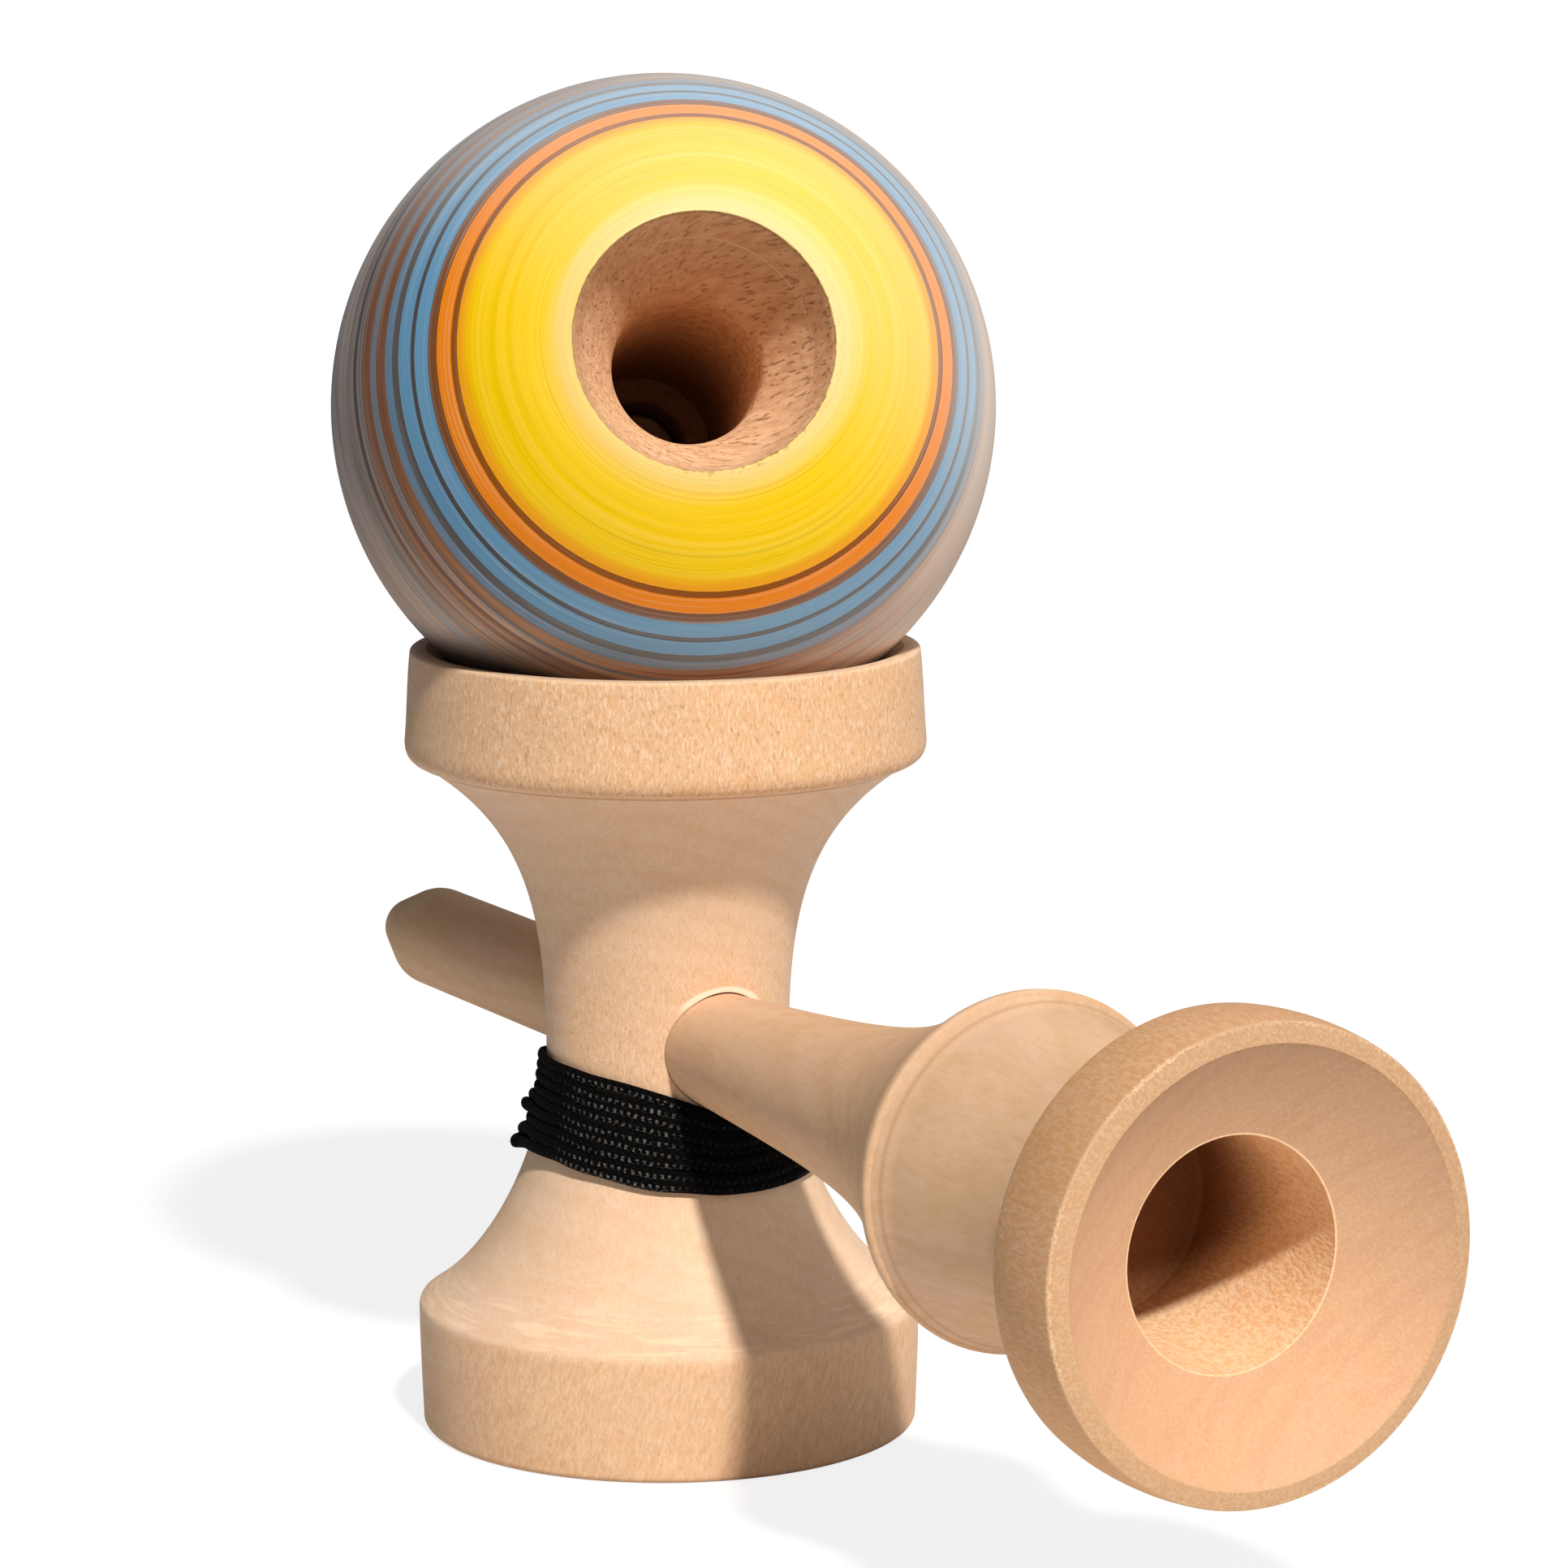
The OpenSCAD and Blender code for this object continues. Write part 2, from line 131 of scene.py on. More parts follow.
# A node tree that is built one node at a time
class Maker:
    def __init__(self, tree):
        self.tree = tree

    def node(self, kind, settings=None, inputs=None, output=0):
        made = self.tree.nodes.new(kind)
        for name, setting in (settings or {}).items():
            if name == "interpolation":
                made.color_ramp.interpolation = setting
            elif name == "stops":
                while len(made.color_ramp.elements) < len(setting):
                    made.color_ramp.elements.new(1)
                for element, (place, color) in zip(made.color_ramp.elements, setting):
                    element.position = place
                    element.color = (*color, 1)
            else:
                setattr(made, name, setting)
        for name, given in (inputs or {}).items():
            if isinstance(given, Value):
                self.tree.links.new(given.socket, made.inputs[name])
            else:
                made.inputs[name].default_value = given
        return Value(self, made.outputs[output]) if made.outputs else None

    # The Mix node has its colours in sockets 6 and 7, and gives a colour by its third output
    def mix(self, amount, first, second):
        colors = [(*c, 1) if isinstance(c, tuple) else c for c in (first, second)]
        return self.node("ShaderNodeMix", {"data_type": "RGBA"}, {0: amount, 6: colors[0], 7: colors[1]},
            output=2)

    def vector(self, operation, first, second=None, output=0, **inputs):
        given = {0: first, **inputs}
        if second is not None:
            given[1] = second
        return self.node("ShaderNodeVectorMath", {"operation": operation}, given, output=output)

    def dot(self, place, way):
        return self.vector("DOT_PRODUCT", place, tuple(way), output=1)

    def length(self, place):
        return self.vector("LENGTH", place, output=1)

    # Where a point of a piece lies from a middle, in millimetres
    def place_from(self, middle):
        place = self.vector("SCALE", self.node("ShaderNodeTexCoord", output=3), Scale=1000.0)
        return self.vector("SUBTRACT", place, tuple(middle))

    def noise(self, place, detail=1.0, **inputs):
        given = {"Vector": place, "Scale": 1.0, "Detail": detail, **inputs}
        return self.node("ShaderNodeTexNoise", inputs=given)


room_maker = Maker(room.node_tree)
seen_by_camera = room_maker.node("ShaderNodeLightPath")
looked_at = room_maker.node("ShaderNodeTexCoord")
from_right = room_maker.dot(looked_at, view_right)
room_light = from_right * 0.19 + 0.26
room_color = room_maker.mix(seen_by_camera, (0.955, 0.985, 1.05), (1, 1, 1))
background = room_maker.node("ShaderNodeBackground", inputs={"Color": room_color,
    "Strength": room_light + seen_by_camera * (1 - room_light)})
room_maker.node("ShaderNodeOutputWorld", inputs={"Surface": background})

bpy.ops.mesh.primitive_plane_add(size=24)
floor = bpy.context.object
floor.name = "floor"
floor_material = bpy.data.materials.new("pale_floor")
floor_material.use_nodes = True
floor_material.node_tree.nodes.clear()
floor_maker = Maker(floor_material.node_tree)
floor_seen = floor_maker.node("ShaderNodeLightPath")
# Only the sheet near the toy throws light back on it, and less so right under the small cup
floor_place = floor_maker.node("ShaderNodeTexCoord", output=3)
from_toy = floor_maker.vector("DISTANCE", floor_place, (0.045, 0.03, 0), output=1)
from_foot = floor_maker.vector("DISTANCE", floor_place, (-0.02175, 0, 0), output=1)
sheet = floor_maker.mix(from_toy.step(0.13, 0.28), (0.95, 0.94, 0.92), (0.16, 0.16, 0.16))
sheet = floor_maker.mix(from_foot.step(0.028, 0.06), (0.60, 0.58, 0.56), sheet)
# The camera sees it almost white, with the shadow of the toy
floor_color = floor_maker.mix(floor_seen, sheet, (0.22, 0.22, 0.22))
floor_matt = floor_maker.node("ShaderNodeBsdfDiffuse", inputs={"Color": floor_color})
floor_glow = floor_maker.node("ShaderNodeEmission", inputs={"Strength": floor_seen * 0.82})
floor_shader = floor_maker.node("ShaderNodeAddShader", inputs={0: floor_matt, 1: floor_glow})
floor_maker.node("ShaderNodeOutputMaterial", inputs={"Surface": floor_shader})
floor.data.materials.append(floor_material)

# String
# One black braid of 1.1 mm. It leaves the hole in the neck on the far side, goes nine times round
# the neck under the handle, hangs in a slack loop behind the cups, and ends in the ball.
string_width = 1.1
handle_height = 36.75
neck_to_middle = Vector((-21.75, 0, 0))
ball_middle = Vector((-21.75, 0, 94.065))
bore_way = Vector((0.901757, -0.310500, 0.300706))
# How far behind the ball's middle the bead's back and the knot on the bead lie
bead_behind = 25.55
knot_behind = 20.9

# Radius of the neck at heights above the floor, where the string lies on it
neck_radii = [(20, 15.25), (21, 14.85), (22, 14.47), (23, 14.1), (24, 13.75), (25, 13.4), (26, 13.07),
    (27, 12.75), (28, 12.44), (29, 12.14), (30, 11.87), (31, 11.63), (32, 11.43), (33, 11.28), (34, 11.18),
    (35, 11.15), (36, 11.16), (37, 11.17)]


def neck_radius(height):
    for (low, first), (high, second) in zip(neck_radii, neck_radii[1:]):
        if height <= high:
            return first + (second - first) * (height - low) / (high - low)


# Azimuth round the neck, height of the top row there, and spacing of the rows down from it
row_places = [(90, 34.6, 0.98), (130, 33.7, 1.02), (180, 31.9, 1.0), (242, 34.5, 0.99), (280, 34.4, 0.95),
    (295, 33.95, 0.955), (311, 33.5, 0.955), (326, 32.85, 0.945), (340, 31.95, 0.86), (355, 30.9, 0.78),
    (372, 30.8, 0.775), (392, 31.25, 0.8), (412, 32.1, 0.88), (450, 33.4, 0.98), (490, 32.68, 1.02),
    (540, 30.9, 1.0)]
turns = 9
first_azimuth = 130
last_azimuth = first_azimuth + 360 * turns - 10
# Small slack loops that stand off the winding: azimuth along the string, how far out and up, width
slack = [(242 + 360 * 5, 1.0, 0.25, 8), (238 + 360 * 4, 0.35, 0, 9), (243 + 360 * 8, 1.0, -0.3, 8),
    (240 + 360 * 7, 0.5, -0.3, 9), (100 + 360 * 2, 0.7, 0.1, 12)]
# Rows that ride a little out over their neighbours
row_out = [0, 0.05, 0.15, 0, 0.08, 0.16, 0, 0.14, 0.03]


# Top height and spacing of the rows at an azimuth, on a smooth curve through the places
def rows_at(azimuth):
    i = max(k for k in range(1, len(row_places) - 2) if row_places[k][0] <= azimuth)
    before, a, b, after = row_places[i - 1:i + 3]
    span = b[0] - a[0]
    t = (azimuth - a[0]) / span
    values = []
    for k in (1, 2):
        out_of_a = (b[k] - before[k]) / (b[0] - before[0]) * span
        into_b = (after[k] - a[k]) / (after[0] - a[0]) * span
        values.append(a[k] * (1 + 2 * t) * (1 - t) ** 2 + b[k] * t * t * (3 - 2 * t)
            + out_of_a * t * (1 - t) ** 2 - into_b * t * t * (1 - t))
    return values


def wound_place(azimuth):
    row, along = divmod(azimuth - first_azimuth, 360)
    along += first_azimuth
    top, gap = rows_at(along)
    height = top - row * gap
    share = along / 360 - 0.36
    out = row_out[int(row)] * (1 - share) + row_out[min(int(row) + 1, turns - 1)] * share
    out += max(0, 0.9 - gap) * 2.6 * (row % 2)
    height += 0.07 * math.sin(azimuth / 23 + row) + 0.05 * math.sin(azimuth / 11.3 + 2 * row)
    for middle, far, up, width in slack:
        bulge = math.exp(-((azimuth - middle) / width) ** 2)
        out += far * bulge
        height += up * bulge
    radius = neck_radius(height) + 0.39 + out * 0.8
    angle = math.radians(azimuth)
    return Vector((radius * math.cos(angle), radius * math.sin(angle), height))


# A smooth line through given points, with steps of about the given length
def smooth_line(points, step):
    line = []
    for i in range(len(points) - 1):
        a, b = points[max(i - 1, 0)], points[i]
        c, d = points[i + 1], points[min(i + 2, len(points) - 1)]
        count = max(1, round((c - b).length / step))
        for k in range(count):
            t = k / count
            line.append(0.5 * (2 * b + (c - a) * t + (2 * a - 5 * b + 4 * c - d) * t * t
                + (3 * b - a - 3 * c + d) * t ** 3))
    return line + [points[-1]]


# A round braid along a line of points in millimetres. Its map holds the millimetres along it,
# and the share of a turn round it. Up to the point wound_until it is pressed flatter on the neck.
def braid(name, line, width=string_width, sides=12, wound_until=0):
    tangent = (line[1] - line[0]).normalized()
    across = tangent.orthogonal().normalized()
    rings = []
    run = [0]
    for i, point in enumerate(line):
        ahead = (line[min(i + 1, len(line) - 1)] - line[max(i - 1, 0)]).normalized()
        if i < wound_until:
            across = ahead.cross(Vector((0, 0, 1)))
        across = (across - across.dot(ahead) * ahead).normalized()
        up = ahead.cross(across)
        flat = 0.73 + 0.27 * max(0, 1 - min(i, max(wound_until - i, 0)) / 20)
        if i:
            run.append(run[-1] + (point - line[i - 1]).length)
        swell = width / 2 * (1 + 0.02 * math.sin(run[i] / 1.9) + 0.015 * math.sin(run[i] / 0.7))
        rings.append([(point + swell * (flat * math.cos(2 * math.pi * j / sides) * across
            + math.sin(2 * math.pi * j / sides) * up)) / 1000 for j in range(sides)])
    corners = [corner for ring in rings for corner in ring]
    walls = []
    for i in range(len(line) - 1):
        here, there = i * sides, (i + 1) * sides
        for j in range(sides):
            beside = (j + 1) % sides
            walls.append((here + j, here + beside, there + beside, there + j))
    ends = [tuple(reversed(range(sides))), tuple((len(line) - 1) * sides + j for j in range(sides))]
    mesh = bpy.data.meshes.new(name)
    mesh.from_pydata(corners, [], walls + ends)
    lengths = mesh.uv_layers.new(name="along_and_round")
    for wall in mesh.polygons:
        for k, loop in enumerate(wall.loop_indices):
            ring, side = divmod(mesh.loops[loop].vertex_index, sides)
            if side == 0 and wall.index < len(walls) and wall.index % sides == sides - 1:
                side = sides
            lengths.data[loop].uv = (run[ring], side / sides)
        wall.use_smooth = wall.index < len(walls)
    piece = bpy.data.objects.new(name, mesh)
    bpy.context.scene.collection.objects.link(piece)
    mesh.materials.append(braid_material)
    return piece


braid_material = bpy.data.materials.new("black_braid")
braid_material.use_nodes = True
braid_material.node_tree.nodes.clear()
yarn = Maker(braid_material.node_tree)
braid_map = yarn.node("ShaderNodeUVMap", {"uv_map": "along_and_round"})
along = yarn.node("ShaderNodeSeparateXYZ", inputs={0: braid_map})
around = yarn.node("ShaderNodeSeparateXYZ", inputs={0: braid_map}, output=1)
right_strands = (along * 1.15 + around * 4) * math.pi
left_strands = (along * 1.15 - around * 4) * math.pi
crest = abs(right_strands.math("SINE") * left_strands.math("SINE")) ** 0.5
fuzz = yarn.noise(yarn.vector("MULTIPLY", braid_map, (3, 9, 0)), 2.0)
threads = yarn.noise(yarn.vector("MULTIPLY", braid_map, (0.9, 40, 0)), 1.0)
# Painted highlights: light dashes in two chains along the upper outer side of the braid stand in for the
# lamp's glints on the strands, and are strongest on the lit front of the winding
dash_length = 0.66
dash_turn = along * (2 * math.pi / dash_length)
dash = dash_turn.math("SINE").step(-0.15, 0.55)
second_dash = (dash_turn + math.pi).math("SINE").step(-0.05, 0.6)
upper_side = ((around - 0.035) * (2 * math.pi)).math("COSINE").step(0.86, 0.96)
lower_side = ((around - 0.135) * (2 * math.pi)).math("COSINE").step(0.93, 0.985)
glint_azimuth = math.radians(311)
glint_way = (math.cos(glint_azimuth), math.sin(glint_azimuth), 0)
from_neck = yarn.vector("MULTIPLY", yarn.place_from(neck_to_middle), (1, 1, 0))
glint_side = yarn.dot(yarn.vector("NORMALIZE", from_neck), glint_way).step(0.86, 0.955) * 0.92 + 0.08
glint_dashes = (dash * upper_side + second_dash * lower_side * 0.6).math("MINIMUM", 1.0)
glint_dashes = glint_dashes * fuzz.step(0.38, 0.62) * glint_side
black = (0.0005, 0.0004, 0.0004)
dark_grey = (0.0032, 0.0028, 0.0026)
braid_color = yarn.mix(crest.step(0.2, 0.9) * 0.6 + threads * 0.25, black, dark_grey)
# The painted highlights are laid on as light grey
braid_color = yarn.mix(glint_dashes, braid_color, (0.15, 0.14, 0.13))
braid_bump = yarn.node("ShaderNodeBump", inputs={"Strength": 0.9, "Distance": 0.00018,
    "Height": crest + threads * 0.2})
braid_shader = yarn.node("ShaderNodeBsdfPrincipled", inputs={"Base Color": braid_color,
    "Roughness": 0.95 - glint_dashes * 0.5, "Normal": braid_bump, "Specular IOR Level": 0.07})
yarn.node("ShaderNodeOutputMaterial", inputs={"Surface": braid_shader})

lead_points = [Vector(p) for p in [(0, 5.3, 36.75), (0, 8, 36.75), (0, 10.3, 36.75), (-0.5, 11.9, 36.6),
    (-1.9, 12.55, 36.2), (-3.9, 12.2, 35.5), (-5.9, 11.0, 34.7)]]
wound_points = [wound_place(azimuth) for azimuth in range(first_azimuth, last_azimuth + 1, 5)]
tail_points = [Vector(p) for p in [(-12, 10, 22.5), (-15, 10.3, 20.5), (-19, 11, 16.5), (-22.5, 11.5, 12.5),
    (-26, 11.8, 9.8), (-29.5, 11.8, 9.4), (-32, 11.6, 11.5), (-33.4, 11.5, 15), (-34, 11.4, 20),
    (-34.2, 11.3, 26), (-34.2, 11.2, 32), (-34.1, 11.1, 38), (-34, 11.1, 44), (-33.9, 11, 50),
    (-33.8, 11, 56), (-33.7, 11, 62), (-33.7, 11.1, 68), (-33.6, 11.2, 74), (-33.2, 11.4, 79.5),
    (-32, 11.1, 82.6)]]
at_ball = [ball_middle - neck_to_middle - h * bore_way for h in (33, 31.8, 29)]
string_points = lead_points + wound_points + tail_points + at_ball
string_step = 0.25
string_line = smooth_line([point + neck_to_middle for point in string_points], string_step)
wound_until = len(smooth_line(lead_points + wound_points, string_step))
string_length = sum((b - a).length for a, b in zip(string_line, string_line[1:])) / 1000
string = braid("string", string_line, wound_until=wound_until)
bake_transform(string)
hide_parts("string_winding", "string_lead", "string_tail")

# A stopper knot: the string comes up through the bead or the stem, and is wrapped twice round itself
wrap_radius = 1.08
knot_line = [Vector((0, 0, h)) for h in (-1, 0, 0.6, 1.2)]
knot_line += [Vector((0.28, 0.1, 1.5)), Vector((0.8, 0.5, 1.62))]
for wrap in range(70, 760, 20):
    knot_line.append(Vector((wrap_radius * math.cos(math.radians(wrap)),
        wrap_radius * math.sin(math.radians(wrap)), 1.55 - (wrap - 50) / 720)))
knot_line += [Vector((0.75, 0.75, 0.35)), Vector((0.55, 0.85, 0.2))]


def knotted(name, below, middle, up_way):
    turned = up_way.to_track_quat("Z", "Y")
    below_knot = [Vector((0, 0, -below * share)) for share in (1, 0.66, 0.33)]
    line = smooth_line([middle + turned @ point for point in below_knot + knot_line], 0.2)
    return braid(name, line, width=1.05)


stop_knot = knotted("stop_knot", 10.6, ball_middle - knot_behind * bore_way, bore_way)
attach(stop_knot, "bead")
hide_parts("string_stop_knot")
end_knot = knotted("end_knot", 8.1, neck_to_middle + Vector((0, -2.95, handle_height)), Vector((0, -1, 0)))
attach(end_knot, "ken")
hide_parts("string_end_knot")

# Inside the neck the string runs on into the stem
inner_points = [Vector((-22.05 + 0.6 * k / 8, 4.5 + 0.9 * k / 8, handle_height)) for k in range(9)]
inner_string = braid("inner_string", smooth_line(inner_points, 0.05), width=1.0)
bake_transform(inner_string)
[tuple(p / 1000) for p in string_line]

# Cross piece
# A turned maple body with a cup at each end, sanded bare. The stem is wedged in the tapered hole
# through its neck, and the string leaves by the small hole on the far side.


# The points of a bend after its first, from a to d with b and c to steer it
def bend(a, b, c, d, count):
    points = []
    for k in range(1, count + 1):
        t = k / count
        s = 1 - t
        points.append(tuple(s ** 3 * a[i] + 3 * s * s * t * b[i] + 3 * s * t * t * c[i] + t ** 3 * d[i]
            for i in (0, 1)))
    return points


# The points of an arc round a middle, between two angles in degrees
def rounded(middle, radius, first, last, count=6):
    angles = [math.radians(first + (last - first) * k / count) for k in range(count + 1)]
    return [(middle[0] + radius * math.cos(a), middle[1] + radius * math.sin(a)) for a in angles]


# The points of a cup's hollow, from its deepest out to its edge, with the edge at height 0
def hollow(edge_radius, hollow_radius, count=24):
    deep = hollow_radius - math.sqrt(hollow_radius ** 2 - edge_radius ** 2)
    widest = math.asin(edge_radius / hollow_radius)
    return [(hollow_radius * math.sin(widest * k / count),
        deep - hollow_radius * (1 - math.cos(widest * k / count))) for k in range(count + 1)]


def pick(piece):
    bpy.ops.object.select_all(action="DESELECT")
    piece.select_set(True)
    bpy.context.view_layer.objects.active = piece


# Draws half an outline of (radius, height) in millimetres by extruding one corner along it,
# and spins it round the upright, as the lathe does
def turn_wood(name, outline, steps=192):
    bpy.ops.object.select_all(action="DESELECT")
    bpy.ops.mesh.primitive_plane_add(size=0.001)
    piece = bpy.context.object
    piece.name = name
    bpy.ops.object.mode_set(mode="EDIT")
    bpy.ops.mesh.merge(type="CENTER")
    bpy.ops.transform.translate(value=(outline[0][0] / 1000, 0, outline[0][1] / 1000))
    for here, there in zip(outline, outline[1:]):
        step = ((there[0] - here[0]) / 1000, 0, (there[1] - here[1]) / 1000)
        bpy.ops.mesh.extrude_region_move(TRANSFORM_OT_translate={"value": step})
    bpy.ops.mesh.select_all(action="SELECT")
    bpy.ops.mesh.spin(steps=steps, angle=2 * math.pi, center=(0, 0, 0), axis=(0, 0, 1))
    bpy.ops.mesh.select_all(action="SELECT")
    bpy.ops.mesh.remove_doubles(threshold=0.000002)
    bpy.ops.mesh.normals_make_consistent(inside=False)
    bpy.ops.object.mode_set(mode="OBJECT")
    return piece


# Turns the upright of a finished mesh to another way and moves it to its place, and leaves its
# object at the origin
def set_in_place(piece, place, upright=None):
    pick(piece)
    piece.rotation_mode = "QUATERNION"
    if upright is not None:
        piece.rotation_quaternion = upright.to_track_quat("Z", "Y")
    piece.location = place / 1000
    bpy.ops.object.transform_apply(location=True, rotation=True, scale=True)


# Drills a piece with bits that are turned like it, and does away with the bits
def drill(piece, *bits):
    for bit in bits:
        hole = piece.modifiers.new("hole", "BOOLEAN")
        hole.object = bit
        hole.solver = "EXACT"
        pick(piece)
        bpy.ops.object.modifier_apply(modifier=hole.name)
        bpy.data.objects.remove(bit)


def smooth_off(piece, degrees=32):
    pick(piece)
    bpy.ops.object.shade_smooth_by_angle(angle=math.radians(degrees))


# Where the middle line of the handle crosses that of the neck
crossing = Vector((0, 0, handle_height))
# Where the stem begins to taper, measured along the handle from there
taper_start = -13.55
hole_mouth = 5.3
hole_far_end = 4.95
string_hole = 0.95
neck_least = 11.15
neck_height = 35
cross_height = 72.3
small_edge = 20.3
small_lip = 0.4
small_top = (22.91, 11.7)
big_bottom = (21.97, 61.8)
big_edge = 20
big_edge_height = 71.37

small_cup = [(r, z + small_lip) for r, z in hollow(small_edge, 28.8)]
small_rim = bend((small_edge, small_lip), (20.45, 0.15), (20.7, 0), (21, 0), 3) + [(21.5, 0)]
small_rim += rounded((22.1, 0.7), 0.7, -90, 0)
small_side = bend((22.8, 0.7), (22.92, 3.9), (23.1, 7.96), (23.1, 10.5), 10)
small_side += bend((23.1, 10.5), (23.1, 11), (23.15, 11.45), small_top, 5)
flares = bend(small_top, (14.68, 16.77), (neck_least, 28.72), (neck_least, neck_height), 30)
flares += bend((neck_least, neck_height), (neck_least, 48.2), (13, 55.8), big_bottom, 32)
big_side = bend(big_bottom, (22.72, 62.06), (23.75, 62.1), (23.8, 63.76), 8)
big_side += bend((23.8, 63.76), (23.54, 66.5), (23.54, 69.3), (23.24, 72), 8)
big_rim = rounded((22.94, 72), 0.3, 0, 90, 4)[1:] + [(22.4, cross_height), (21.75, cross_height)]
big_rim += [(21.6, 72.2), (20.8, 71.8), (big_edge, big_edge_height)]
big_cup = [(r, big_edge_height - z) for r, z in reversed(hollow(big_edge, 26.8))][1:]
small_end = small_cup + small_rim + small_side
big_end = big_side + big_rim + big_cup
cross_piece = turn_wood("cross_piece", small_end + flares + big_end)
stem_bit = turn_wood("stem_bit", [(0, -26), (hole_far_end, -26), (hole_far_end, taper_start), (5.275, 9.65),
    (hole_mouth, 10.95), (5.5, 11.6), (6.2, 14), (0, 14)], 96)
set_in_place(stem_bit, crossing, Vector((1, 0, 0)))
string_bit = turn_wood("string_bit", [(0, 0), (string_hole, 0), (string_hole, 10.55), (1.95, 11.75),
    (2.2, 13), (0, 13)], 48)
set_in_place(string_bit, crossing, Vector((0, 1, 0)))
drill(cross_piece, stem_bit, string_bit)
set_in_place(cross_piece, neck_to_middle)
smooth_off(cross_piece)


# Bare turned wood. Its grain runs along one way and its growth rings are stacked along another.
# Where the grain is cut across, the wood is deeper in colour and stippled with short raised dashes.
class BareWood:
    def __init__(self, name, middle, grain, rings, seed=0.0, cut_range=(0.45, 0.97)):
        self.material = bpy.data.materials.new(name)
        self.material.use_nodes = True
        self.material.node_tree.nodes.clear()
        self.maker = Maker(self.material.node_tree)
        self.place = self.maker.place_from(middle)
        parts = [self.along(way) for way in (grain, rings, grain.cross(rings))]
        self.through_rings, self.across = parts[1:]
        self.inside = self.maker.node("ShaderNodeCombineXYZ",
            inputs={0: parts[0] + seed, 1: parts[1], 2: parts[2]})
        swirl = self.maker.node("ShaderNodeTexNoise",
            inputs={"Vector": self.inside, "Scale": 1.6, "Detail": 2.0}, output=1)
        swirl = self.maker.vector("SCALE", self.maker.vector("SUBTRACT", swirl, (0.5, 0.5, 0.5)), Scale=0.42)
        self.swirled = self.maker.vector("ADD", self.inside, swirl)
        facing = self.maker.node("ShaderNodeTexCoord", output=1)
        self.end_cut = abs(self.maker.dot(facing, grain)).step(*cut_range)

    def along(self, way):
        return self.maker.dot(self.place, way)

    def noise(self, scales, detail=1.0, swirled=False):
        stretched = self.maker.vector("MULTIPLY", self.swirled if swirled else self.inside, scales)
        return self.maker.noise(stretched, detail)

    # Thin wavy lines where the growth rings come to the surface
    def ring_lines(self, gap, spread, tilt=0.0):
        wander = self.noise((0.014, 0.05, 0.045), 2.0) * 9.0 + self.noise((0.05, 0.25, 0.22), 2.0) * 1.5
        year = (self.through_rings + self.across * tilt + self.across * self.across / spread + wander) / gap
        return year.math("FRACT").ramp([(0.0, (0, 0, 0)), (0.4, (0.12, 0.12, 0.12)), (0.8, (1, 1, 1)),
            (1.0, (0, 0, 0))], "EASE")

    # Lays a colour over the wood, as strongly as a mask says
    def tint(self, amount, color):
        self.color = self.maker.mix(amount, self.color, color)

    def color_in(self, light, tan, cut, dark, lines, stipple):
        pale = tuple(min(1.0, part * 1.15) for part in light)
        patches = self.noise((0.03, 0.12, 0.12), 2.0).step(0.36, 0.66)
        rosy = self.noise((0.045, 0.16, 0.16), 2.0).step(0.48, 0.66)
        mottle = self.noise((0.5, 1.1, 1.1), 3.0)
        streaks = self.noise((0.22, 4.5, 4.5), 2.0)
        dashes = self.noise((2.0, 1.3, 4.6), 1.0, True)
        pits = self.noise((2.1, 1.5, 5.0), 1.5, True)
        grit = self.noise((7.0, 5.0, 7.0), 2.0)
        cut_color = self.maker.mix(patches * 0.5 + (mottle - 0.5), cut, tan)
        self.color = self.maker.mix(patches * 0.5 + (mottle - 0.5) * 1.6 + (streaks - 0.5) * 0.8, light, tan)
        self.tint(rosy * 0.38, (0.78, 0.49, 0.37))
        self.tint(lines * 0.38, tan)
        self.tint((streaks - 0.5).math("MAXIMUM", 0.0) * (1 - self.end_cut) * 0.8, tan)
        self.tint(self.end_cut * 0.8, cut_color)
        self.tint(dashes.step(0.47, 0.68) * (self.end_cut * 0.42 + 0.08) * stipple, pale)
        self.tint((1 - pits).step(0.52, 0.74) * (self.end_cut * 0.36 + 0.06) * stipple, dark)
        self.tint((grit - 0.5).math("MAXIMUM", 0.0) * (self.end_cut * 0.6 + 0.5), dark)
        self.relief = (dashes - pits) * (self.end_cut * 0.9 + 0.1) * stipple
        self.relief = self.relief + mottle * 0.25 + streaks * 0.3 - lines * 0.12
        self.roughness = 0.66 + (mottle - 0.5) * 0.25

    # Puts the material on a piece, with what is raised on it besides the grain
    def finish(self, piece, raised=0.0):
        bump = self.maker.node("ShaderNodeBump", inputs={"Strength": 0.3, "Distance": 0.0001,
            "Height": self.relief + raised})
        shader = self.maker.node("ShaderNodeBsdfPrincipled", inputs={"Base Color": self.color,
            "Roughness": self.roughness, "Normal": bump, "Specular IOR Level": 0.22})
        self.maker.node("ShaderNodeOutputMaterial", inputs={"Surface": shader})
        piece.data.materials.append(self.material)


# The material measures heights from here
maple_height = 30
grain_azimuth = math.radians(-15)
cross_grain = Vector((math.cos(grain_azimuth), math.sin(grain_azimuth), 0))
maple = BareWood("maple_across", neck_to_middle + Vector((0, 0, maple_height)), cross_grain,
    Vector((0, 0, 1)), cut_range=(0.0, 0.7))
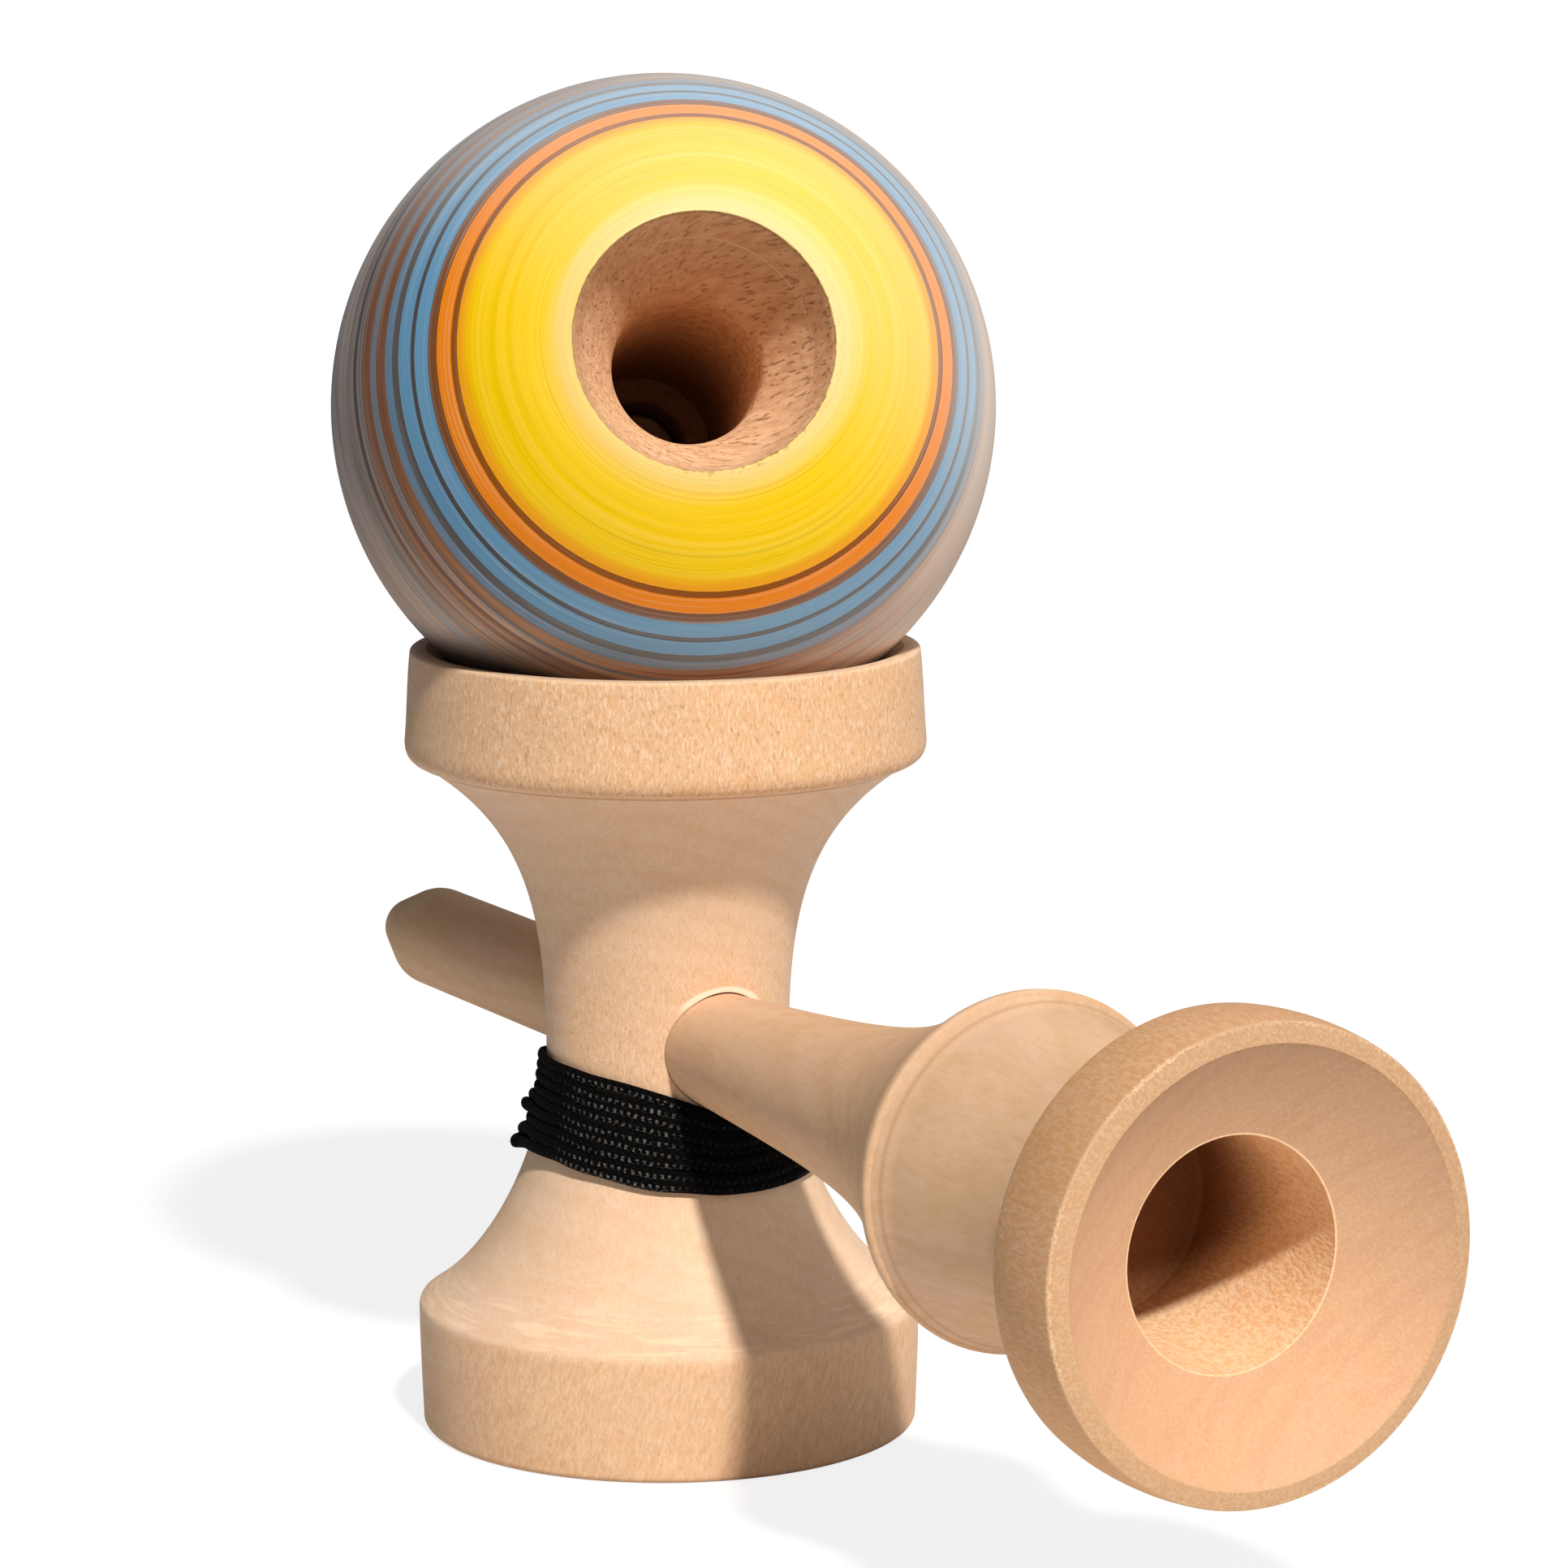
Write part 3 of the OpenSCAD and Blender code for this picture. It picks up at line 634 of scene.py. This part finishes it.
# The cut ends show on the two bands and on the neck, and hardly on the flares
at_height = maple.along((0, 0, 1))
from_axis = maple.maker.length(maple.maker.vector("MULTIPLY", maple.place, (1, 1, 0)))
on_small_band = 1 - at_height.step(-19.4, -17.9)
on_bands = on_small_band * 0.75 + at_height.step(31.5, 32.0)
on_neck = (1 - abs(at_height - 7) / 17).math("MAXIMUM", 0.0)
maple.end_cut = maple.end_cut * (on_bands * 0.85 + on_neck * 0.55 + 0.12)
maple.color_in(light=(0.80, 0.58, 0.405), tan=(0.74, 0.47, 0.275), cut=(0.81, 0.445, 0.205),
    dark=(0.42, 0.21, 0.095), lines=maple.ring_lines(2.9, 40.0, -0.45), stipple=1.2 - on_small_band * 0.5)
# A raised lip round the hole that the stem comes out of, on the front of the neck alone, painted pale as a
# highlight where its edge catches the light
from_stem = maple.maker.vector("SUBTRACT", maple.place, (0, 0, handle_height - maple_height))
from_stem = maple.maker.length(maple.maker.vector("MULTIPLY", from_stem, (0, 1, 1)))
in_front = maple.along((1, 0, 0)).step(10.3, 10.9)
hole_lip_and_highlight = from_stem.step(5.25, 5.45) * (1 - from_stem.step(5.7, 6.05)) * in_front
maple.tint(hole_lip_and_highlight * 0.9, (1.0, 0.80, 0.60))
# The rubbed lip of the big cup, and painted shade in the crease under its band
big_lip = (abs(at_height - 42.25) * -1).step(-0.35, -0.05) * from_axis.step(22.4, 22.9)
maple.tint(big_lip * 0.22, (0.97, 0.70, 0.46))
# Painted shade: a thin dark line in the crease
crease_shade = (abs(at_height - 31.78) * -1).step(-0.22, -0.04) * (1 - from_axis.step(22.6, 22.9))
maple.tint(crease_shade * 0.55, (0.42, 0.21, 0.095))
# Slanting tool marks on the band of the small cup
slanted = maple.maker.node("ShaderNodeCombineXYZ", inputs={0: maple.along(cross_grain),
    1: at_height, 2: maple.across + at_height * 0.3})
grooves = maple.maker.noise(maple.maker.vector("MULTIPLY", slanted, (0.8, 0.62, 2.7)), 2.0, Distortion=0.6)
grooved = on_small_band * maple.end_cut
maple.tint(grooves.step(0.5, 0.68) * grooved * 0.4, (0.97, 0.66, 0.40))
maple.tint((1 - grooves).step(0.52, 0.7) * grooved * 0.2, (0.45, 0.215, 0.09))
# Light streaks where the lathe tool ran off the band onto the flare
round_axis = maple.maker.vector("MULTIPLY", maple.place, (0.16, 0.16, 2.4))
run_off = maple.maker.noise(round_axis, 3.0, Distortion=0.4)
off_band = at_height.step(-18.6, -18.1) * (1 - at_height.step(-17.2, -13.5))
maple.tint(run_off.step(0.48, 0.64) * off_band * 0.5, (0.97, 0.70, 0.45))
maple.finish(cross_piece, hole_lip_and_highlight * 2.5 + grooves * grooved * 4.5)
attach(cross_piece, "sarado")
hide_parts("sarado")

# Handle
# One long turning of maple: the spike, the stem that tapers into the neck, the grip with its
# ridge, and the base cup with its bore. The string is knotted in a seat in the stem.
spike_end = -58.5
spike_side = 4.9
taper_end = (5.25, 11.45)
grip_waist = 12.4
base_back = 93
base_front = 102
bore_radius = 9.5
bore_mouth = 97.087
bore_end = bore_mouth - 20
# The dish is part of a sphere, between two angles from its axis in degrees
base_dish = 26.6
dish_middle = bore_mouth + 24.846
dish_outer = 41.14
dish_inner = 20.92

spike = [(0, spike_end), (0.8, spike_end), (1.6, spike_end)]
spike += bend((1.6, spike_end), (2.05, spike_end), (2.5, -58.1), (2.7, -57.6), 5)
spike += [(3.4, -55.5), (4.15, -53.25), (4.8, -51.3), (4.87, -51.03)]
spike += [(spike_side, x) for x in (-50.7, -49.9, -40, -30, -20, taper_start)]
spike += [(4.97, -8.55), (5.04, -3.55), (5.11, 1.45), (5.18, 6.45), taper_end]
grip = bend(taper_end, (7.15, 42.1), (7.75, 49.4), (15.2, 64.8), 40)
grip += rounded((14.7, 65.4), 0.6, 0, 70, 5)
grip += bend((14.3, 66.6), (13.7, 72.4), (grip_waist, 76.5), (grip_waist, 84.5), 18)
grip += bend((grip_waist, 84.5), (grip_waist, 89), (16.3, 92.4), (18.55, base_back), 16)
base_side = rounded((18.55, 93.7), 0.7, -80, 0, 5)
base_side += bend((19.25, 93.7), (19.6, 96), (19.6, 99), (19.25, 101.25), 10)
base_rim = rounded((18.95, 101.25), 0.3, 0, 70, 4)[1:] + [(18.4, 101.77), (17.6, base_front), (17.5, 101.9)]
dish_angles = [math.radians(dish_outer - (dish_outer - dish_inner) * k / 14) for k in range(1, 15)]
base_cup = [(base_dish * math.sin(a), dish_middle - base_dish * math.cos(a)) for a in dish_angles]
base_bore = [(bore_radius, x) for x in (96.8, 90, 84, 77.5)]
base_bore += [(r, bore_end) for r in (9.2, 6, 0)]
handle = turn_wood("handle", spike + grip + base_side + base_rim + base_cup + base_bore)
set_in_place(handle, crossing, Vector((1, 0, 0)))
through_bit = turn_wood("through_bit", [(0, -8), (string_hole, -8), (string_hole, 8), (0, 8)], 48)
set_in_place(through_bit, crossing, Vector((0, -1, 0)))
seat_bit = turn_wood("seat_bit", [(0, 2.9), (1.97, 2.9), (1.97, 8), (0, 8)], 48)
set_in_place(seat_bit, crossing, Vector((0, -1, 0)))
drill(handle, through_bit, seat_bit)
set_in_place(handle, neck_to_middle)
smooth_off(handle)

long_maple = BareWood("maple_along", neck_to_middle + crossing, Vector((1, 0, 0)),
    Vector((0, -0.66, 0.75)).normalized(), 37.0)
along_handle = long_maple.along((1, 0, 0))
from_middle = long_maple.maker.length(long_maple.maker.vector("MULTIPLY", long_maple.place, (0, 1, 1)))
in_dish = along_handle.step(93.5, 94.5) * (1 - from_middle.step(17.3, 17.6))
in_bore = (1 - from_middle.step(9.52, 9.7)) * along_handle.step(76.5, 77.0)
on_rim = along_handle.step(101.2, 101.45) * from_middle.step(17.3, 17.6)
on_base_side = along_handle.step(92.0, 93.5) * from_middle.step(17.4, 18.4) * (1 - on_rim)
long_maple.color_in(light=(0.76, 0.495, 0.305), tan=(0.66, 0.395, 0.205), cut=(0.64, 0.375, 0.215),
    dark=(0.42, 0.20, 0.085), lines=long_maple.ring_lines(1.9, 60.0),
    stipple=0.55 + in_bore * 0.6 - in_dish * 0.35)
woolly = long_maple.noise((1.1, 3.6, 3.6), 3.0, True)
long_maple.tint(on_base_side * (0.35 + woolly.step(0.38, 0.62) * 0.45), (0.62, 0.30, 0.115))
# Soft streaks in the dish and on the rim, which are painted browner above as shade from the rim, and are
# rosier below
dish_streaks = long_maple.noise((0.04, 0.85, 0.13), 2.0)
dish_top_shade = long_maple.along((0, 0.45, 0.89)).step(-8.0, 15.0)
long_maple.tint(in_dish * 0.25, (0.60, 0.34, 0.205))
long_maple.tint(in_dish * dish_streaks.step(0.46, 0.62) * 0.35, (0.56, 0.31, 0.18))
long_maple.tint(in_dish * woolly.step(0.45, 0.65) * 0.16, (0.92, 0.64, 0.47))
long_maple.tint(on_rim * 0.6, (0.56, 0.31, 0.15))
# Painted shade on the upper part of the dish and rim
long_maple.tint((in_dish + on_rim) * dish_top_shade * 0.30, (0.36, 0.20, 0.105))
long_maple.tint(in_dish * (1 - dish_top_shade) * 0.25, (0.72, 0.33, 0.14))
long_maple.tint(on_rim * woolly.step(0.44, 0.60) * 0.18, (0.90, 0.62, 0.38))
# The outer edge of the rim is worn pale in places
ragged_edge = (abs(from_middle - 19.1 + (woolly - 0.5) * 0.9) * -1).step(-0.14, -0.02)
ragged_edge = ragged_edge * along_handle.step(101.0, 101.4)
worn_edge = ragged_edge * (long_maple.noise((0.3, 0.22, 0.22), 1.0).step(0.38, 0.62) * 0.42 + 0.10)
long_maple.tint(worn_edge, (0.95, 0.66, 0.38))
# The bore is left rough from the drill. Its upper wall, where the edge of the mouth shades it from the lamp,
# is painted dark as shadow, more so the deeper it lies
rough_bore = long_maple.noise((1.3, 3.0, 3.0), 2.0, True)
bore_depth_shade = 1 - along_handle.step(78.5, 93.0)
bore_lamp_shadow = (long_maple.along((-1.24, -0.36, 2.2)) + 116.2).step(-5.0, 8.0)
long_maple.tint(in_bore * 0.9, (1.0, 0.70, 0.43))
long_maple.tint(in_bore * rough_bore.step(0.38, 0.64) * 0.65, (0.86, 0.46, 0.19))
# Painted shadow and shade inside the bore
long_maple.tint(in_bore * bore_lamp_shadow * (bore_depth_shade * 0.86 + 0.04), (0.15, 0.035, 0.002))
near_ridge = (abs(along_handle - 66.9) * -1).step(-0.35, -0.05)
long_maple.tint(near_ridge * 0.30, (0.40, 0.19, 0.08))
tip_cut = 1 - along_handle.step(-58.2, -51.2)
long_maple.tint(tip_cut * 0.35, (0.93, 0.66, 0.44))
long_maple.finish(handle,
    on_base_side * woolly * 0.5 + worn_edge * 1.2 + in_bore * rough_bore * 5.0)
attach(handle, "ken")
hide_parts("ken")

# Bead
# A small turned bead, slipped on the string under its knot. It bears on the wood left at the back
# of the bore, and the ball spins on it.
bead_hole = 0.75
bead_radius = 3.4
bead_length = 4.6
bead_belly = bend((bead_radius, 0), (4.2, 0.6), (4.2, 4.0), (bead_radius, bead_length), 14)
bead_outline = [(bead_hole, 0), (2.6, 0)] + bead_belly + [(2.6, bead_length)]
bead_outline += [(bead_hole, h) for h in (bead_length, 3, 1.5, 0)]
bead = turn_wood("bead", bead_outline, 64)
set_in_place(bead, ball_middle - bead_behind * bore_way, bore_way)
smooth_off(bead)
bead_wood = BareWood("bead_beech", ball_middle, bore_way, bore_way.orthogonal().normalized())
bead_wood.color_in(light=(0.62, 0.38, 0.22), tan=(0.50, 0.28, 0.15), cut=(0.55, 0.31, 0.17),
    dark=(0.25, 0.12, 0.06), lines=bead_wood.ring_lines(2.0, 60.0), stipple=0.6)
bead_wood.finish(bead)
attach(bead, "bead")
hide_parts("string_bead")

# Ball
# A turned beech ball with a tapered mouth and a long bore. It was painted on the lathe in yellow,
# orange, brown and blue rings round the bore, and varnished; the bore is left bare.
ball_radius = 30
ball_bore = 6.55
mouth_radius = 11.6
pocket_end = -25.6
string_side = (string_hole, -29.985)

bore_side = [string_side, (string_hole, pocket_end), (4.4, pocket_end), (4.4, -18.6), (4.7, -18.25)]
bore_side += [(6.4, -18.25), (ball_bore, -18.1)] + [(ball_bore, h) for h in (-12, -6, 0, 6, 11, 14.6)]
bore_side += bend((ball_bore, 14.6), (ball_bore, 15.6), (6.72, 16.4), (7.1, 17.2), 6)
mouth_side = bend((7.1, 17.2), (8.1, 19.2), (9.1, 21.2), (10.08, 23.2), 8) + [(10.16, 23.42)]
mouth_side += bend((10.16, 23.42), (10.6, 24.8), (11.0, 26.2), (11.34, 27.5), 6)
mouth_side += [(11.48, 27.68), (mouth_radius, 27.667)]
first_angle = math.asin(mouth_radius / ball_radius)
skin_angles = [first_angle + (math.radians(178.18) - first_angle) * k / 100 for k in range(1, 101)]
skin = [(ball_radius * math.sin(a), ball_radius * math.cos(a)) for a in skin_angles]
ball = turn_wood("ball", bore_side + mouth_side + skin + [string_side], 200)
set_in_place(ball, ball_middle, bore_way)
smooth_off(ball, 40)

paint = bpy.data.materials.new("ringed_paint")
paint.use_nodes = True
paint.node_tree.nodes.clear()
coat = Maker(paint.node_tree)
side_way = view_up.cross(bore_way).normalized()
over_way = bore_way.cross(side_way).normalized()
# The painted rings lie a little askew to the bore
ring_way = (bore_way + 0.0188 * side_way + 0.01694 * over_way).normalized()
ball_place = coat.place_from(ball_middle)
ball_way = coat.vector("NORMALIZE", ball_place)
to_side = coat.dot(ball_way, side_way)
to_top = coat.dot(ball_way, over_way)


# Angle round the ball from a way, in degrees
def degrees_from(way):
    up_way = coat.dot(ball_way, way).math("MINIMUM", 1.0).math("MAXIMUM", -1.0)
    return up_way.math("ARCCOSINE") * (180 / math.pi)


degrees_off = degrees_from(bore_way)
ring_degrees = degrees_from(ring_way)


# Noise that is drawn out round the ball, as the brush leaves it on the lathe
def brushed(fineness, stretch, detail=2.0, shift=0.0):
    track = coat.node("ShaderNodeCombineXYZ", inputs={0: ring_degrees * fineness + shift,
        1: to_side * stretch, 2: to_top * stretch})
    return coat.noise(track, detail, Roughness=0.6)


def spotted(scale, detail=1.0):
    return coat.noise(ball_place, detail, Scale=scale)


# Rings, by their angle from the pole on either side of the ball. The yellow caps lie inside them.
folded = 90 - abs(ring_degrees - 90)
line_wander = (brushed(0.02, 1.6, 1.0) - 0.5) * 0.9 + (spotted(1.1, 2.0) - 0.5) * 0.3
ringed = (folded + line_wander * 0.55) / 90
cap_edge = 44.75
yellow = (0.96, 0.60, 0.0)
orange = (0.92, 0.26, 0.012)
brown = (0.22, 0.075, 0.022)
blue = (0.145, 0.335, 0.52)
slate = (0.085, 0.075, 0.076)
ring_stops = [(0, (0.30, 0.085, 0.01)), (45.95, orange), (49.15, brown), (50.3, (0.22, 0.10, 0.055)),
    (51.2, blue), (54.25, slate), (55.5, blue), (58.7, (0.12, 0.105, 0.10)), (60.3, (0.155, 0.26, 0.37)),
    (62.4, (0.25, 0.10, 0.05)), (65.3, (0.22, 0.24, 0.27)), (67.4, (0.26, 0.11, 0.06)),
    (70.4, (0.30, 0.25, 0.23)), (72.5, (0.13, 0.11, 0.11)), (74.1, (0.36, 0.29, 0.26)),
    (75.8, (0.31, 0.25, 0.22)), (77.2, (0.45, 0.38, 0.34)), (79.2, (0.40, 0.34, 0.31)),
    (80.4, (0.50, 0.44, 0.41))]
ring_color = ringed.ramp([(place / 90, color) for place, color in ring_stops], "CONSTANT")

# The yellow is laid on in streaks, and the orange runs a little into it
thin = brushed(0.55, 0.8, 3.0, 4.0)
fine_streaks = brushed(1.9, 1.1, 2.0, 11.0)
olive_arcs = brushed(1.5, 0.6, 2.0, 17.0).step(0.58, 0.70)
green_ring = (1 - abs(folded - 38.2 + line_wander) / 0.8).math("MAXIMUM", 0.0) * thin.step(0.35, 0.6)
low_side = (to_side * 0.35 - to_top).step(-0.55, 0.5)
orange_edge = (folded + (brushed(0.5, 3.0, 3.0, 7.0) - 0.5) * 2.0 + low_side * 0.5).step(41.8, 44.4)
yellow_color = coat.mix((thin - 0.5) * 2.2 + (fine_streaks - 0.5) * 0.9 + 0.25, yellow, (1.0, 0.665, 0.05))
yellow_color = coat.mix(olive_arcs * 0.30, yellow_color, (0.66, 0.44, 0.0))
yellow_color = coat.mix(green_ring * 0.22, yellow_color, (0.50, 0.42, 0.01))
yellow_color = coat.mix(orange_edge * 0.8, yellow_color, (0.93, 0.34, 0.012))
in_yellow = 1 - ringed.math("GREATER_THAN", cap_edge / 90)
coat_color = coat.mix(in_yellow, ring_color, yellow_color)

# Past the blue the paint is washed thin and rusty below; on the side and top that face the lamp it is
# painted beige, as a painted sheen of the lit side
washed = brushed(0.8, 0.5, 3.0, 23.0)
outer = (folded + (washed - 0.5) * 5.0).step(59.5, 66.0)
lamp_side = (to_side + to_top * 0.45).step(-0.35, 0.85)
beige_sheen = (lamp_side * 1.15 + (washed - 0.5) * 0.7).math("MAXIMUM", 0.0).math("MINIMUM", 0.92)
beige_sheen_color = coat.mix(to_top.step(0.0, 0.8), (0.80, 0.56, 0.40), (0.46, 0.36, 0.28))
rusty = outer * (1 - beige_sheen) * brushed(1.3, 0.9, 2.0, 31.0).step(0.40, 0.62) * (to_top * -1).step(0.0, 0.85)
dark_streaks = outer * (1 - beige_sheen) * (1 - brushed(1.6, 1.2, 3.0, 41.0).step(0.36, 0.50))
light_streaks = (fine_streaks - 0.55).math("MAXIMUM", 0.0) * (1 - in_yellow)
deep_streaks = (0.45 - fine_streaks).math("MAXIMUM", 0.0)
# A whitish painted sheen lies over the paint towards the top and the one side, which face the lamp, and
# round the mouth the paint is chalky
top_sheen = (to_side * 0.5 + to_top * 0.87).step(-0.22, 0.42) * (folded.step(47, 58) * 0.11 + 0.16)
top_sheen = top_sheen * (thin + 0.5) + (to_side - to_top).step(-0.2, 0.9) * folded.step(47, 54) * 0.10
round_mouth = (1 - degrees_off.step(22.8, 29.0)) * 0.24 * (thin + 0.5)
chalk_and_sheen = coat.mix(in_yellow, (1.0, 0.98, 0.94), (1.0, 0.80, 0.84))
# Painted shade: a dark band low on the one side, where the ball sits on the rim of the big cup and shade
# falls between them
ball_height = coat.dot(ball_place, (0, 0, 1))
contact_shade = (1 - ball_height.step(-20.6, -17.2)) * (to_side * -1).step(-0.05, 0.55)
# These layers hold the painted sheen of the lit side and the painted contact shade, besides the paint's own
# streaks and rust
for amount, color in [(outer * beige_sheen, beige_sheen_color), (rusty * 0.8, (0.70, 0.33, 0.14)),
        (dark_streaks * 0.5, (0.035, 0.03, 0.035)), (light_streaks * 0.9, (1, 0.98, 0.92)),
        (deep_streaks * 0.6, (0.02, 0.01, 0.0)), (top_sheen + (1 - top_sheen) * round_mouth, chalk_and_sheen),
        (contact_shade * 0.75, (0.015, 0.012, 0.01))]:
    coat_color = coat.mix(amount, coat_color, color)

# Bare beech in the mouth and the bore, with short flecks along the grain, and painted shade at the top of
# the mouth and deep in the bore
up_bore = coat.dot(ball_place, bore_way)
from_bore = coat.length(coat.vector("CROSS_PRODUCT", ball_place, tuple(bore_way)))
fleck_way = (side_way * 0.6 + bore_way * 0.8).normalized()
beech_ways = [coat.dot(ball_place, way) for way in (fleck_way, over_way, fleck_way.cross(over_way))]


def beech_noise(scales, detail, shift=0.0):
    parts = {k: beech_ways[k] * scales[k] + shift for k in range(3)}
    return coat.noise(coat.node("ShaderNodeCombineXYZ", inputs=parts), detail)


beech_tone = beech_noise((0.35, 1.3, 1.3), 3.0)
flecks = beech_noise((0.6, 3.1, 3.1), 1.0, 5.0).step(0.58, 0.70)
pale_flecks = beech_noise((0.8, 2.6, 2.6), 2.0, 19.0).step(0.56, 0.72)
tool_arc = (1 - abs(from_bore - 10.12) / 0.05).math("MAXIMUM", 0.0) * (to_side + to_top).step(-0.1, 0.35)
beech = coat.mix(beech_tone.step(0.25, 0.75), (0.90, 0.58, 0.34), (0.68, 0.38, 0.20))
for amount, color in [(pale_flecks * 0.35, (0.95, 0.68, 0.46)), (flecks * 0.62, (0.22, 0.10, 0.05)),
        # Painted shade: the top of the mouth, under the rim, is darker
        (to_top.step(-0.05, 0.35) * 0.35, (0.42, 0.19, 0.08)),
        (tool_arc * beech_tone.step(0.3, 0.55) * 0.7, (0.95, 0.72, 0.52)),
        # Painted shade: deeper in the bore the wood is darker
        ((1 - up_bore.step(-14.0, 16.0)) * 0.75, (0.30, 0.11, 0.035))]:
    beech = coat.mix(amount, beech, color)

# The paint ends ragged at the mouth, with a dark edge
depth_in = ball_radius - coat.length(ball_place)
ragged = (spotted(1.7, 3.0) - 0.5) * ((to_side - to_top).step(0.0, 0.4) * 0.5 + 0.35)
near_lip = 1 - degrees_off.step(23.0, 23.5)
bare = ((depth_in + ragged).step(0.10, 0.30) * near_lip).math("MAXIMUM", depth_in.step(0.5, 0.7))
edge_line = (1 - abs(depth_in + ragged - 0.24) / 0.2).math("MAXIMUM", 0.0) * near_lip
ball_color = coat.mix(edge_line * 0.65, coat.mix(bare, coat_color, beech), (0.20, 0.12, 0.01))
relief = coat.node("ShaderNodeBump", inputs={"Strength": 0.25, "Distance": 0.00025,
    "Height": fine_streaks * 0.5 + flecks * bare * -1.2})
paint_shader = coat.node("ShaderNodeBsdfPrincipled", inputs={"Base Color": ball_color,
    "Roughness": bare * 0.28 + 0.42, "Coat Weight": (1 - bare) * 0.06,
    "Normal": relief, "Specular IOR Level": 0.1, "Coat Roughness": 0.3})
coat.node("ShaderNodeOutputMaterial", inputs={"Surface": paint_shader})
ball.data.materials.append(paint)
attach(ball, "tama")
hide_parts("tama")
